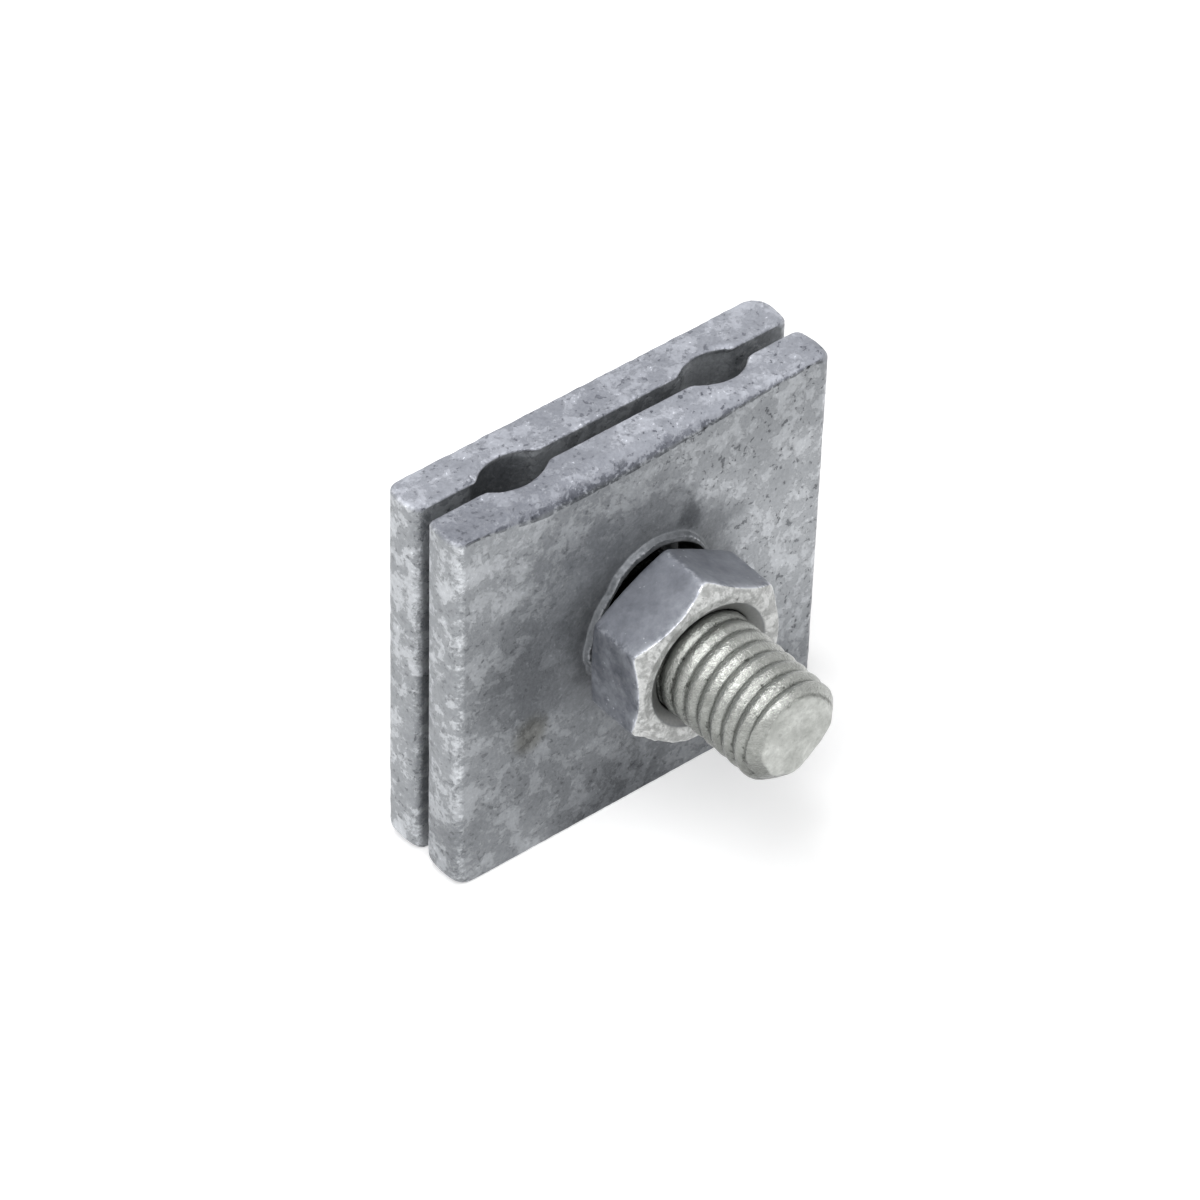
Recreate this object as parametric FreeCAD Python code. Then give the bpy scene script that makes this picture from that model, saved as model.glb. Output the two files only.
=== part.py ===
import math
import os

import FreeCAD
import Part
from FreeCAD import Vector

# Post and strand clamp: two grooved square plates, drawn together by one bolt and nut.
# Millimetres. X runs across the plates, -Y points at the nut and +Z is up.
# The plates stand on their bottom ends. The origin is the bottom centre of the whole clamp's box.

# Plates
plate_width = 50.8
plate_height = 49.2
plate_thickness = 5.1
plate_gap = 1.9
end_crown = 0.4
edge_radius = 1.2
worn_corner_radius = 3.2
shear_radius = 2.0
shear_small_radius = 1.0
shear_sharp_radius = 0.35
outline_corner_radius = 1.0

# Grooves that grip the strand, one pair each side of the bolt
groove_radius = 6.4
groove_depth = 1.65
groove_blend = 1.0
groove_spacing = 28.1

# Where the grooves and the bolt lie on the blank
groove_shift = 0.4
bolt_shift = 0.9
bolt_height = 25.35

# Bolt
shank_diameter = 12.7
bolt_length = 36.7
tip_chamfer = 1.5
head_diameter = 27.0
head_height = 6.4
head_rim = 1.0
neck_width = 13.0
neck_length = 4.6
neck_corner = 1.2
neck_clearance = 0.25

# Front plate's hole and its raised rim
hole_diameter = 15.9
hole_shift = 0.4
hole_rest_clearance = 0.1
rim_width = 1.6
rim_height = 0.8
rim_crest_width = 0.5
rim_slope_bulge = 0.12

# Nut
nut_across_flats = 19.05
nut_thickness = 8.2
nut_face_ratio = 0.91
nut_chamfer_angle = 30.0
nut_bore_clearance = 0.05
nut_countersink = 1.0
nut_slack = 1.15

# How far a cutting shape stands past what it cuts
cut_margin = 1.0

# Worked out from the sizes above, measured from the middle of the gap
inner_face = plate_gap / 2
outer_face = inner_face + plate_thickness
shank_radius = shank_diameter / 2
hole_radius = hole_diameter / 2
hole_play = hole_radius - shank_radius - hole_rest_clearance
hole_centre = bolt_shift + hole_shift
hole_height = bolt_height + math.sqrt(hole_play ** 2 - hole_shift ** 2)
nut_rear = outer_face + rim_height + nut_slack
tip_reach = bolt_length - outer_face
head_reach = outer_face + head_height
gap_middle = (tip_reach - head_reach) / 2
groove_places = [groove_shift - groove_spacing / 2, groove_shift + groove_spacing / 2]


def arc(start, middle, end):
    return Part.Arc(start, middle, end).toShape()


def line(start, end):
    return Part.makeLine(start, end)


def groove_edges(centre_x, side):
    """One groove in plan: an edge blend, the round of the groove and a second blend, left to right."""
    reach = groove_radius + groove_blend
    drop = reach - groove_depth
    across = math.sqrt(reach ** 2 - drop ** 2)
    bottom = Vector(centre_x, side * (inner_face + groove_depth), 0)
    centre = bottom - Vector(0, side * groove_radius, 0)
    halves = []
    for hand in (-1, 1):
        blend_centre = centre + Vector(hand * across, side * drop, 0)
        to_groove = (centre - blend_centre).normalize()
        to_land = Vector(0, -side, 0)
        land_point = blend_centre + to_land * groove_blend
        middle = blend_centre + (to_land + to_groove).normalize() * groove_blend
        join = blend_centre + to_groove * groove_blend
        halves.append((land_point, middle, join))
    left, right = halves
    edges = [arc(*left), arc(left[2], bottom, right[2]), arc(right[2], right[1], right[0])]
    return edges, left[0], right[0]


def plate_section(side):
    """The rolled bar's section in plan, with both grooves and crowned ends."""
    half = plate_width / 2
    square_half = half - end_crown
    inner = side * inner_face
    outer = side * outer_face
    middle = (inner + outer) / 2
    start = Vector(-square_half, inner, 0)
    edges = []
    last = start
    for centre_x in groove_places:
        groove, first_point, last_point = groove_edges(centre_x, side)
        edges.append(line(last, first_point))
        edges += groove
        last = last_point
    inner_right = Vector(square_half, inner, 0)
    outer_right = Vector(square_half, outer, 0)
    outer_left = Vector(-square_half, outer, 0)
    edges.append(line(last, inner_right))
    edges.append(arc(inner_right, Vector(half, middle, 0), outer_right))
    edges.append(line(outer_right, outer_left))
    edges.append(arc(outer_left, Vector(-half, middle, 0), start))
    return Part.Face(Part.Wire(edges))


def upright_edge(solid, x_sign, y):
    """The upright corner edge of a plate at one end and on one face."""
    def is_it(edge):
        ends = [vertex.Point for vertex in edge.Vertexes]
        upright = len(ends) == 2 and abs(ends[0].z - ends[1].z) > plate_height / 2
        corner = abs(ends[0].y - y) < 1e-6 and ends[0].x * x_sign > plate_width / 2 - end_crown - 1e-6
        return upright and corner
    return [edge for edge in solid.Edges if is_it(edge)]


def rounded_rectangle(low, high, radii, place):
    """A rectangle with its own radius at each corner: low-low, high-low, high-high and low-high."""
    (a0, b0), (a1, b1) = low, high
    r0, r1, r2, r3 = radii
    diagonal = 1 - math.sqrt(0.5)
    corners = [
        ((a0, b0 + r0), (a0 + diagonal * r0, b0 + diagonal * r0), (a0 + r0, b0)),
        ((a1 - r1, b0), (a1 - diagonal * r1, b0 + diagonal * r1), (a1, b0 + r1)),
        ((a1, b1 - r2), (a1 - diagonal * r2, b1 - diagonal * r2), (a1 - r2, b1)),
        ((a0 + r3, b1), (a0 + diagonal * r3, b1 - diagonal * r3), (a0, b1 - r3)),
    ]
    edges = []
    for index, corner in enumerate(corners):
        following = corners[(index + 1) % 4]
        edges.append(arc(*[place(*point) for point in corner]))
        edges.append(line(place(*corner[2]), place(*following[0])))
    return Part.Face(Part.Wire(edges))


def plate_blank(side, radii, shear_radii):
    """A plate with no bolt hole. radii are (right inner, left inner, right outer, left outer);
    shear_radii are (inner bottom, outer bottom, outer top, inner top)."""
    blank = plate_section(side).extrude(Vector(0, 0, plate_height))
    places = [(1, inner_face), (-1, inner_face), (1, outer_face), (-1, outer_face)]
    for (x_sign, y), radius in zip(places, radii):
        blank = blank.makeFillet(radius, upright_edge(blank, x_sign, side * y))
    half = plate_width / 2
    inner_bottom, outer_bottom, outer_top, inner_top = shear_radii
    ends = rounded_rectangle(
        (inner_face, 0), (outer_face, plate_height),
        (inner_bottom, outer_bottom, outer_top, inner_top),
        lambda a, b: Vector(-half - cut_margin, side * a, b))
    sheared = blank.common(ends.extrude(Vector(plate_width + 2 * cut_margin, 0, 0)))
    outline = rounded_rectangle(
        (-half, 0), (half, plate_height), [outline_corner_radius] * 4,
        lambda a, b: Vector(a, -outer_face - cut_margin, b))
    return sheared.common(outline.extrude(Vector(0, 2 * (outer_face + cut_margin), 0)))


def front_plate():
    """The plate under the nut: an oversize round hole, whose edge stands up in a rim."""
    blank = plate_blank(
        -1, (edge_radius, edge_radius, edge_radius, edge_radius),
        (shear_small_radius, shear_sharp_radius, shear_radius, shear_sharp_radius))
    face_point = Vector(hole_centre, -outer_face, hole_height)

    def rim_point(radius, height):
        return face_point + Vector(radius, -height, 0)

    foot = hole_radius + rim_width
    crest = hole_radius + rim_crest_width
    root = -plate_thickness / 2
    slope = rim_point(foot, 0) - rim_point(crest, rim_height)
    outward = Vector(-slope.y, slope.x, 0).normalize() * -rim_slope_bulge
    slope_middle = rim_point(crest, rim_height) + slope / 2 + outward
    inside = rim_point(hole_radius - cut_margin, root)
    inside_crest = rim_point(hole_radius - cut_margin, rim_height)
    edges = [
        line(inside, inside_crest),
        line(inside_crest, rim_point(crest, rim_height)),
        arc(rim_point(crest, rim_height), slope_middle, rim_point(foot, 0)),
        line(rim_point(foot, 0), rim_point(foot, root)),
        line(rim_point(foot, root), inside),
    ]
    rim = Part.Face(Part.Wire(edges)).revolve(face_point, Vector(0, 1, 0), 360)
    drill_start = rim_point(0, rim_height + cut_margin)
    drill = Part.makeCylinder(hole_radius, 2 * outer_face, drill_start, Vector(0, 1, 0))
    return blank.fuse(rim).cut(drill).removeSplitter()


def back_plate():
    """The plate behind: a square hole that keeps the bolt's neck from turning."""
    blank = plate_blank(
        1, (edge_radius, edge_radius, worn_corner_radius, edge_radius),
        (shear_sharp_radius, shear_radius, shear_sharp_radius, shear_small_radius))
    return blank.cut(square_bar(neck_width + 2 * neck_clearance, 0, 2 * outer_face))


def square_bar(width, start, end):
    """A square bar along Y on the bolt's axis, with rounded corners."""
    low = (bolt_shift - width / 2, bolt_height - width / 2)
    high = (bolt_shift + width / 2, bolt_height + width / 2)
    face = rounded_rectangle(low, high, [neck_corner] * 4, lambda a, b: Vector(a, start, b))
    return face.extrude(Vector(0, end - start, 0))


def turned(profile_edges):
    """A solid of revolution about the bolt's axis, from edges in plan at the bolt's height."""
    face = Part.Face(Part.Wire(profile_edges))
    return face.revolve(Vector(bolt_shift, 0, bolt_height), Vector(0, 1, 0), 360)


def axis_point_at(radius, y):
    return Vector(bolt_shift + radius, y, bolt_height)


def bolt():
    """Round-headed bolt with a square neck. Its thread is cut on the shank's full diameter."""
    dome_drop = head_height - head_rim
    head_radius = head_diameter / 2
    dome_radius = (head_radius ** 2 + dome_drop ** 2) / (2 * dome_drop)
    half_angle = math.asin(head_radius / dome_radius) / 2
    dome_centre = head_reach - dome_radius
    dome_middle = axis_point_at(dome_radius * math.sin(half_angle), dome_centre + dome_radius * math.cos(half_angle))
    tip = -tip_reach
    points = [
        axis_point_at(0, tip),
        axis_point_at(shank_radius - tip_chamfer, tip),
        axis_point_at(shank_radius, tip + tip_chamfer),
        axis_point_at(shank_radius, outer_face),
        axis_point_at(head_radius, outer_face),
        axis_point_at(head_radius, outer_face + head_rim),
    ]
    edges = [line(a, b) for a, b in zip(points, points[1:])]
    crown = axis_point_at(0, head_reach)
    edges.append(arc(points[-1], dome_middle, crown))
    edges.append(line(crown, points[0]))
    neck = square_bar(neck_width, outer_face - neck_length, outer_face + head_rim / 2)
    return turned(edges).fuse(neck).removeSplitter()


def nut():
    """Thin hex nut, chamfered on both faces and countersunk at both ends of its bore."""
    flat = nut_across_flats / 2
    corner = flat / math.cos(math.radians(30))
    front = -(nut_rear + nut_thickness)
    rear = -nut_rear
    corners = []
    for step in range(7):
        angle = math.radians(30 + 60 * step)
        corners.append(Vector(
            bolt_shift + corner * math.cos(angle), front, bolt_height + corner * math.sin(angle)))
    prism = Part.Face(Part.makePolygon(corners)).extrude(Vector(0, nut_thickness, 0))
    face_radius = flat * nut_face_ratio
    outside = corner + cut_margin
    drop = (outside - face_radius) * math.tan(math.radians(nut_chamfer_angle))
    bore = shank_radius + nut_bore_clearance
    mouth = bore + nut_countersink
    depth = nut_countersink * math.tan(math.radians(nut_chamfer_angle))
    outline = [(mouth, front), (face_radius, front), (outside, front + drop), (outside, rear - drop),
               (face_radius, rear), (mouth, rear), (bore, rear - depth), (bore, front + depth), (mouth, front)]
    points = [axis_point_at(radius, y) for radius, y in outline]
    return prism.common(turned([line(a, b) for a, b in zip(points, points[1:])]))


def write_parts():
    os.makedirs("parts", exist_ok=True)
    makers = {"front_plate": front_plate, "back_plate": back_plate, "bolt": bolt, "nut": nut}
    for name, make in makers.items():
        solid = make()
        solid.translate(Vector(0, gap_middle, 0))
        solid.exportStep(f"parts/{name}.step")
        print(name, "valid", solid.isValid(), "solids", len(solid.Solids), "volume", round(solid.Volume, 1))


write_parts()
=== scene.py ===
import itertools
import math

import bpy
import numpy as np
from mathutils import Matrix, Vector


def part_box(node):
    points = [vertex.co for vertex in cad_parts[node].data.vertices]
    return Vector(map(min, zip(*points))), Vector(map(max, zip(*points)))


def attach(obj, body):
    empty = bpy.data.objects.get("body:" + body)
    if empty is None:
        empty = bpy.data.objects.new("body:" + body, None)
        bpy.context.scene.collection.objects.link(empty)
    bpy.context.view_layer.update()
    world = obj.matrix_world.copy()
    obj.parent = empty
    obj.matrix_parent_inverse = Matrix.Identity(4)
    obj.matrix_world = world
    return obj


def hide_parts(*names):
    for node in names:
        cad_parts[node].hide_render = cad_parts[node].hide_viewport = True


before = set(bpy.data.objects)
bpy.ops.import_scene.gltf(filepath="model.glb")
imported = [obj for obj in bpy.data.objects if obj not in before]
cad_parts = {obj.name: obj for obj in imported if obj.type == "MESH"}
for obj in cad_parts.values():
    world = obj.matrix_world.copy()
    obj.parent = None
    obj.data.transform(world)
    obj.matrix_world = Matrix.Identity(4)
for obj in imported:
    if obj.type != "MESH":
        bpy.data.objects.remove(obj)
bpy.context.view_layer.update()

# Looks of a galvanised two-plate strand clamp with one bolt and nut.
# Lengths are millimetres up to the point where a mesh is made. X runs across the plates,
# -Y points at the nut and Z is up. Angles round the bolt start at +X and turn towards +Z.

MM = 0.001


def box_mm(node):
    return [np.array(corner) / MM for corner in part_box(node)]


front_low, front_high = box_mm("front_plate")
back_low, back_high = box_mm("back_plate")
bolt_low, bolt_high = box_mm("bolt")
nut_low, nut_high = box_mm("nut")

# Plates
plate_width = back_high[0] - back_low[0]
plate_height = back_high[2] - back_low[2]
plate_thickness = back_high[1] - back_low[1]
front_inner = front_high[1]
back_inner = back_low[1]
front_face = front_inner - plate_thickness
end_crown = 0.4
right_taper = 0.65
left_taper = 0.45

# Corners of a plate's outline, seen from the front: top right, top left, bottom left, bottom right
plate_corners = (1.0, 0.5, 1.8, 1.8)

# Roundings of a plate's upright edges
narrow_edge_radius = 0.3
face_edge_radius = 0.9
edge_radius = 1.2
worn_edge_radius = 1.8

# Roundings that the shear left on a plate's level edges
shear_sharp_radius = 0.35
shear_small_radius = 1.0
shear_radius = 2.0

# The front plate's worn top edge: where along x its radius grows, and where it shrinks again
roll_least = 0.3
roll_gain = 1.85
roll_grows = (-25, -13)
roll_shrinks = (-6, 27)
roll_shrink_share = 0.95

# Grooves: where each one lies and how deep it is, left then right
groove_radius = 6.4
groove_blend = 1.0
front_grooves = ((-13.5, 1.6), (14.6, 1.75))
back_grooves = ((-13.8, 1.65), (14.2, 1.35))

# Bolt and its thread
axis_x = (nut_low[0] + nut_high[0]) / 2
axis_z = (nut_low[2] + nut_high[2]) / 2
shank_radius = 6.35
plain_shank_drop = 0.5
thread_pitch = 25.4 / 13
thread_depth = 0.5
thread_crest_power = 0.5
thread_start = -0.25
thread_end = front_inner + 1.0
thread_run_out = 1.5
neck_width = 13.0
neck_length = 4.6
neck_corner = 1.2
neck_clearance = 0.25
head_radius = (bolt_high[0] - bolt_low[0]) / 2
head_rim = 1.0
head_seat = back_high[1]

# The bolt's tip: a chamfer with a swell, and two flats (angle, distance from the axis, slope)
tip_chamfer = 2.0
tip_swells = ((105, 45, 1.1),)
tip_flats = ((309, 3.5, 1.4), (258, 5.5, 0.9))
tip_softness = 0.7
tip_unevenness = 0.22

# The front plate's hole and its raised, ragged rim. A swell is an angle, a spread and an amount
hole_radius = 7.95
hole_rest_clearance = 0.1
hole_shift = 0.4
hole_play = hole_radius - shank_radius - hole_rest_clearance
hole_x = axis_x + hole_shift
hole_z = axis_z + math.sqrt(hole_play ** 2 - hole_shift ** 2)
rim_height = front_face - front_low[1]
rim_crest_width = 0.72
rim_slope_width = 0.35
plain_hole_margin = 0.4
rim_width_swells = ((214, 30, 1.0), (141, 11, -0.30), (25, 28, -0.45))
rim_height_swells = ((5, 36, -0.75),)
rim_radius_swells = ((80, 34, 0.2), (150, 28, -0.5))
rim_width_unevenness = 0.20
rim_height_unevenness = 0.10
crest_start = 0.04
crest_fall = 0.06
crest_round = 0.10
wall_round = 0.12

# Nut
nut_flat = (nut_high[0] - nut_low[0]) / 2
nut_front = nut_low[1]
nut_rear = nut_high[1]
nut_corner = nut_flat / math.cos(math.pi / 6)
nut_corner_wear = 0.12
nut_corner_softness = 0.3
nut_face_radius = 0.91 * nut_flat
nut_chamfer_angle = 30.0
nut_arch_angle = 40.0
nut_rear_angle = 8.0
nut_corner_drop = (nut_corner - nut_face_radius) * math.tan(math.radians(nut_chamfer_angle))
nut_front_radius = nut_corner - nut_corner_drop / math.tan(math.radians(nut_arch_angle))
nut_least_arch = 0.1
nut_mouth = shank_radius + 1.4
nut_mouth_depth = 1.1
nut_dish = 0.15
nut_bore_clearance = 0.05
nut_thread_clearance = 0.14

# Zinc fills the thread in and beside the nut: the share of depth that is left, and where it sets in
filled_share = 0.6
filled_stretch = (nut_front - 5.5, nut_front - 1.5)

# Uneven zinc: heights and sizes of its waves, lumps, grain, pits and spatter
wave_height = 0.10
wave_size = 9.0
wave_fade = (0.5, 8.0)
lump_height = 0.022
end_lump_height = 0.016
rim_lump_height = 0.05
lump_size = 1.7
grain_height = 0.010
end_grain_height = 0.014
grain_size = 0.6
pit_depth = 0.26
pit_size = 1.1
inner_face_lump = 0.03
bolt_lump_height = 0.06
bolt_grain_height = 0.05
shank_roughness = 0.35
tip_dish_height = 0.10
nut_lump_height = 0.016
nut_front_lump_height = 0.05
nut_corner_lump_height = 0.02
nut_wave_height = 0.04
spatter_height = 0.34
spatter_place = (218, 20)

# Meshes: steps along a plate's outline, rows round its thickness, and points round bolt and nut
outline_step = 0.36
corner_steps = 5
face_rows = 60
face_crowding = 1.1
outer_edge_rows = 11
end_rows = 15
inner_edge_rows = 6
inner_face_rows = 46
wall_rows = 13
crest_rows = 9
slope_rows = 8
bolt_columns = 200
shank_row_step = 0.125
nut_columns = 360
nut_bore_rows = 60

# Factors that scramble a noise cell's place and its seed, and the bits that are kept
cell_factors = (73856093, 19349663, 83492791)
seed_factor = 26544357
mixing_factor = 1274126177
kept_bits = 0xFFFF


# Noise and small shape helpers

def lattice_noise(points, cell, seed):
    """Smooth noise from -1 to 1 at points, on a lattice of that cell size."""
    scaled = points / cell
    base = np.floor(scaled).astype(np.int64)
    part = scaled - base
    ease = part * part * (3 - 2 * part)
    total = np.zeros(points.shape[:-1])
    for corner in itertools.product((0, 1), repeat=3):
        code = seed * seed_factor
        for axis, factor in enumerate(cell_factors):
            code = code ^ (base[..., axis] + corner[axis]) * factor
        code = (code ^ (code >> 13)) * mixing_factor
        value = ((code ^ (code >> 16)) & kept_bits) / (kept_bits / 2) - 1
        total += value * np.prod(np.where(corner, ease, 1 - ease), axis=-1)
    return total


def layered_noise(points, cell, seed, layers=3):
    """Several sizes of noise added up, each half as large and half as strong as the last."""
    return sum(0.5 ** n * lattice_noise(points, cell / 2 ** n, seed + n) for n in range(layers))


def round_angles(columns):
    """One row of evenly spaced angles round the bolt."""
    return np.linspace(0, 2 * math.pi, columns, endpoint=False)[None, :]


def circle_points(angles, radius):
    """Points on a circle, for noise that runs round it without a seam."""
    return np.stack([radius * np.cos(angles), radius * np.sin(angles), 0 * angles], axis=-1)


def swell(angles, centre, spread):
    """A smooth hump, 1 at the centre angle, for shapes that vary round the bolt. Degrees."""
    away = (np.degrees(angles) - centre + 180) % 360 - 180
    return np.exp(-(away / spread) ** 2)


def swells(angles, humps):
    """Several humps added up, each a centre angle, a spread and a height."""
    return sum(height * swell(angles, centre, spread) for centre, spread, height in humps)


def smooth_least(a, b, softness):
    """The lesser of two values, with a rounded change-over."""
    share = np.clip(0.5 + 0.5 * (b - a) / softness, 0, 1)
    return b + (a - b) * share - softness * share * (1 - share)


def step_between(value, low, high):
    """0 below low, 1 above high, smooth between."""
    part = np.clip((value - low) / (high - low), 0, 1)
    return part * part * (3 - 2 * part)


def grid_normals(grid, closed):
    """Outward unit normals of a grid of points."""
    along = np.roll(grid, -1, axis=1) - np.roll(grid, 1, axis=1)
    if closed:
        across = np.roll(grid, -1, axis=0) - np.roll(grid, 1, axis=0)
    else:
        across = np.gradient(grid, axis=0)
    normal = np.cross(along, across)
    if np.sum((grid - grid.mean(axis=(0, 1))) * normal) < 0:
        normal = -normal
    return normal / np.maximum(np.linalg.norm(normal, axis=2, keepdims=True), 1e-9)


def soften(grid, closed):
    """Rounds a round grid's corners: each point is averaged with those in the rows beside it."""
    mean = (np.roll(grid, 1, axis=0) + 2 * grid + np.roll(grid, -1, axis=0)) / 4
    if not closed:
        mean[0], mean[-1] = grid[0], grid[-1]
    return mean


def make_piece(name, grid, masks, closed, body, node):
    """A closed smooth mesh from a grid in mm, whose columns run round the bolt. Where the rows
    don't close, each end gets a centre point. masks holds a named value for each grid point."""
    rows, columns = grid.shape[:2]
    index = np.arange(rows * columns).reshape(rows, columns)
    beside = np.roll(index, -1, axis=1)
    last = rows if closed else rows - 1
    after = np.roll(index, -1, axis=0)
    after_beside = np.roll(after, -1, axis=1)
    quads = np.stack([index[:last], beside[:last], after_beside[:last], after[:last]], axis=-1)
    faces = quads.reshape(-1, 4).tolist()
    points = grid.reshape(-1, 3)
    if not closed:
        points = np.vstack([points, grid[0].mean(axis=0), grid[-1].mean(axis=0)])
        start, end = rows * columns, rows * columns + 1
        faces += [[start, int(b), int(a)] for a, b in zip(index[0], beside[0])]
        faces += [[end, int(a), int(b)] for a, b in zip(index[-1], beside[-1])]
    mesh = bpy.data.meshes.new(name)
    mesh.from_pydata((points * MM).tolist(), [], faces)
    corner = points[quads.reshape(-1, 4)]
    turn = np.cross(corner[:, 1] - corner[:, 0], corner[:, 2] - corner[:, 0])
    if np.sum((corner.mean(axis=1) - points.mean(axis=0)) * turn) < 0:
        mesh.flip_normals()
    for mask_name, values in masks.items():
        spread = np.zeros(len(points), np.float32)
        spread[:rows * columns] = np.broadcast_to(values, grid.shape[:2]).ravel()
        if not closed:
            spread[-2] = spread[:columns].mean()
            spread[-1] = spread[rows * columns - columns:rows * columns].mean()
        mesh.attributes.new(mask_name, "FLOAT", "POINT").data.foreach_set("value", spread)
    mesh.shade_smooth()
    mesh.update()
    piece = bpy.data.objects.new(name, mesh)
    bpy.context.scene.collection.objects.link(piece)
    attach(piece, body)
    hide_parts(node)
    return piece


# Plates

def groove_depth(x, grooves):
    """How far the grooved inner face lies behind its flat lands."""
    reach = groove_radius + groove_blend
    depth = np.zeros_like(x)
    for centre, deepest in grooves:
        across = math.sqrt(reach ** 2 - (reach - deepest) ** 2)
        join = across * groove_radius / reach
        off = np.abs(x - centre)
        round_part = np.sqrt(np.clip(groove_radius ** 2 - off ** 2, 0, None)) - groove_radius + deepest
        blend_part = groove_blend - np.sqrt(np.clip(groove_blend ** 2 - (off - across) ** 2, 0, None))
        depth = np.where(off < join, round_part, np.where(off < across, blend_part, depth))
    return depth


def plate_outline(corner_radii):
    """Points round a plate and the outward direction at each, as x and z from the plate's centre.
    corner_radii are (top right, top left, bottom left, bottom right)."""
    half = np.array([plate_width / 2, plate_height / 2])
    points = []
    normals = []
    for quarter, corner in enumerate(corner_radii):
        angle = quarter * math.pi / 2
        normal = np.round([math.cos(angle), math.sin(angle)])
        along = np.round([-math.sin(angle), math.cos(angle)])
        out = abs(normal @ half)
        start = corner_radii[quarter - 1] - abs(along @ half)
        end = abs(along @ half) - corner
        steps = round((end - start) / outline_step)
        for step in range(steps):
            points.append(normal * out + along * (start + (end - start) * step / steps))
            normals.append(normal)
        for step in range(corner_steps):
            lean = angle + math.pi / 2 * step / corner_steps
            direction = np.array([math.cos(lean), math.sin(lean)])
            points.append(normal * (out - corner) + along * end + direction * corner)
            normals.append(direction)
    return np.array(points), np.array(normals)


def roll_over(x):
    """Radius of the front plate's worn top edge: widest left of the middle, sharp at both ends."""
    shrunk = roll_shrink_share * step_between(x, *roll_shrinks)
    return roll_least + roll_gain * step_between(x, *roll_grows) * (1 - shrunk)


def sharp_top(x):
    """Radius of the back plate's top edge: the same all along."""
    return np.full(x.shape, shear_sharp_radius)


def rim_shape(angles):
    """Crest width, height and the change in the hole's radius at the rim, round the hole."""
    width = rim_crest_width + swells(angles, rim_width_swells)
    height = rim_height * (1 + swells(angles, rim_height_swells))
    grown = swells(angles, rim_radius_swells)
    circle = circle_points(angles, 6)
    width = width * (1 + rim_width_unevenness * layered_noise(circle, 1.6, 11))
    height = height * (1 + rim_height_unevenness * (layered_noise(circle, 1.2, 21) - 0.5))
    return width, np.minimum(height, rim_height), grown


def round_hole(angles):
    """Radius of the front plate's round hole: the same at each angle."""
    return np.full(angles.shape, hole_radius)


def square_hole(angles):
    """Radius of the back plate's square hole at each angle, its corners rounded."""
    half = neck_width / 2 + neck_clearance
    power = 9
    return half / (np.abs(np.cos(angles)) ** power + np.abs(np.sin(angles)) ** power) ** (1 / power)


class PlatePath:
    """Rows of points, one after another round a plate's thickness, for every outline point. Each row
    has a weight from 0 to 1 for what it is part of: an end, the rim, its lip, the inside, the roll-over."""

    def __init__(self, inner_y, side):
        self.inner_y = inner_y
        self.side = side
        self.rows = []
        self.weights = {"end": [], "rim": [], "lip": [], "inside": [], "roll": []}

    def add(self, place, depth, **given):
        """place is x and z from the plate's centre; depth is measured from the inner lands."""
        y = self.inner_y + self.side * depth
        z = place[:, 1] + plate_height / 2
        self.rows.append(np.stack([place[:, 0], y + 0 * z, z], axis=-1))
        for name, values in self.weights.items():
            values.append(np.broadcast_to(given.get(name, 0.0), z.shape))

    def mask(self, name):
        return np.array(self.weights[name])


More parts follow.
